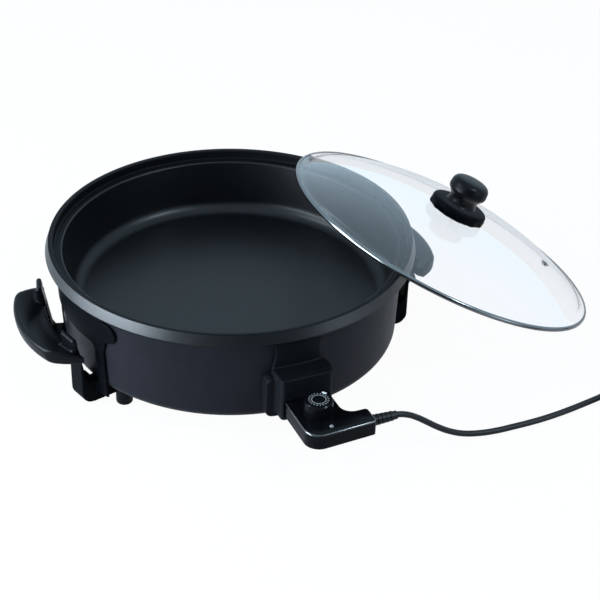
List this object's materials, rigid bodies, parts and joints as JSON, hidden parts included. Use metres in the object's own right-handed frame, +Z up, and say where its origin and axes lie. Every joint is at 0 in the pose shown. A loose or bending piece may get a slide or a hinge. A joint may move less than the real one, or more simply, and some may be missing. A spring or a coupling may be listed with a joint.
{
  "type": "electric pizza pan",
  "caption": "Round electric pizza pan with bakelite stirrup handles, a plug-in thermostat with dial and coiled cord, and a loose domed glass lid leaned on its rim.",
  "frame": {"origin": "on the table under the pan's axis, at the height of the feet", "axes": "+Z up along the pan's axis, -Y towards the thermostat's socket, +X towards the handle that the lid leans over"},
  "size_m": [0.705, 0.5381, 0.169],
  "materials": {
    "nonstick": "matte nonstick coating on cast aluminium",
    "painted_sheet": "satin charcoal paint",
    "plated_sheet": "plain plated sheet",
    "steel": "plain",
    "bakelite": "moulded black, semi gloss",
    "aluminium": "cast",
    "nickel": "nickel plated",
    "brass": "stamped",
    "gloss_black": "gloss black",
    "ceramic": "ceramic body",
    "lamp_glass": "clear",
    "lens": "smoky clear",
    "white_mark": "printed white",
    "black_plastic": "matte",
    "black_rubber": "smooth",
    "lid_glass": "clear tempered",
    "stainless": "polished"
  },
  "bodies": {
    "base": {"pan": "nonstick", "housing": "painted_sheet", "bottom_cover": "plated_sheet", "cover_screws": "steel", "base_feet": "bakelite", "heat_spreader": "aluminium", "heating_element": "steel", "terminal_pins": "nickel", "probe_sleeve": "aluminium", "earth_strip": "brass", "left_handle": "bakelite", "right_handle": "bakelite", "handle_screws": "steel", "handle_nuts": "steel", "socket_bracket": "bakelite", "bracket_screws": "steel", "bracket_washers": "steel"},
    "controller": {"controller_lower_shell": "gloss_black", "controller_upper_shell": "gloss_black", "controller_screws": "steel", "contact_sleeves": "brass", "probe_rod": "nickel", "thermostat_frame": "ceramic", "contact_lever": "brass", "neon_lamp": "lamp_glass", "pilot_lens": "lens", "cord_clamp": "black_plastic", "strain_relief": "black_rubber", "cord_lead": "black_rubber", "cord_coil": "black_rubber", "cord_tie": "black_plastic", "cord_tail": "black_rubber", "plug_body": "black_rubber", "plug_pins": "nickel"},
    "dial": {"dial": "gloss_black", "dial_shaft": "steel", "dial_pointer": "white_mark"},
    "lid": {"lid_glass": "lid_glass", "lid_band": "stainless", "knob_skirt": "bakelite", "lid_knob": "bakelite", "knob_screw": "steel", "knob_washer": "steel", "vent_eyelet": "stainless"}
  },
  "joints": [
    {"name": "controller_pull", "type": "slide", "parent": "base", "child": "controller", "axis": [0, -1, 0], "range_m": [0, 0.08]},
    {"name": "dial_turn", "type": "hinge", "parent": "controller", "child": "dial", "pos_m": [0, -0.2405, 0.0685], "axis": [0, 0, -1], "range_deg": [0, 270]},
    {"name": "lid_lift", "type": "slide", "parent": "base", "child": "lid", "axis": [0, 0, 1], "range_m": [0, 0.25]}
  ]
}
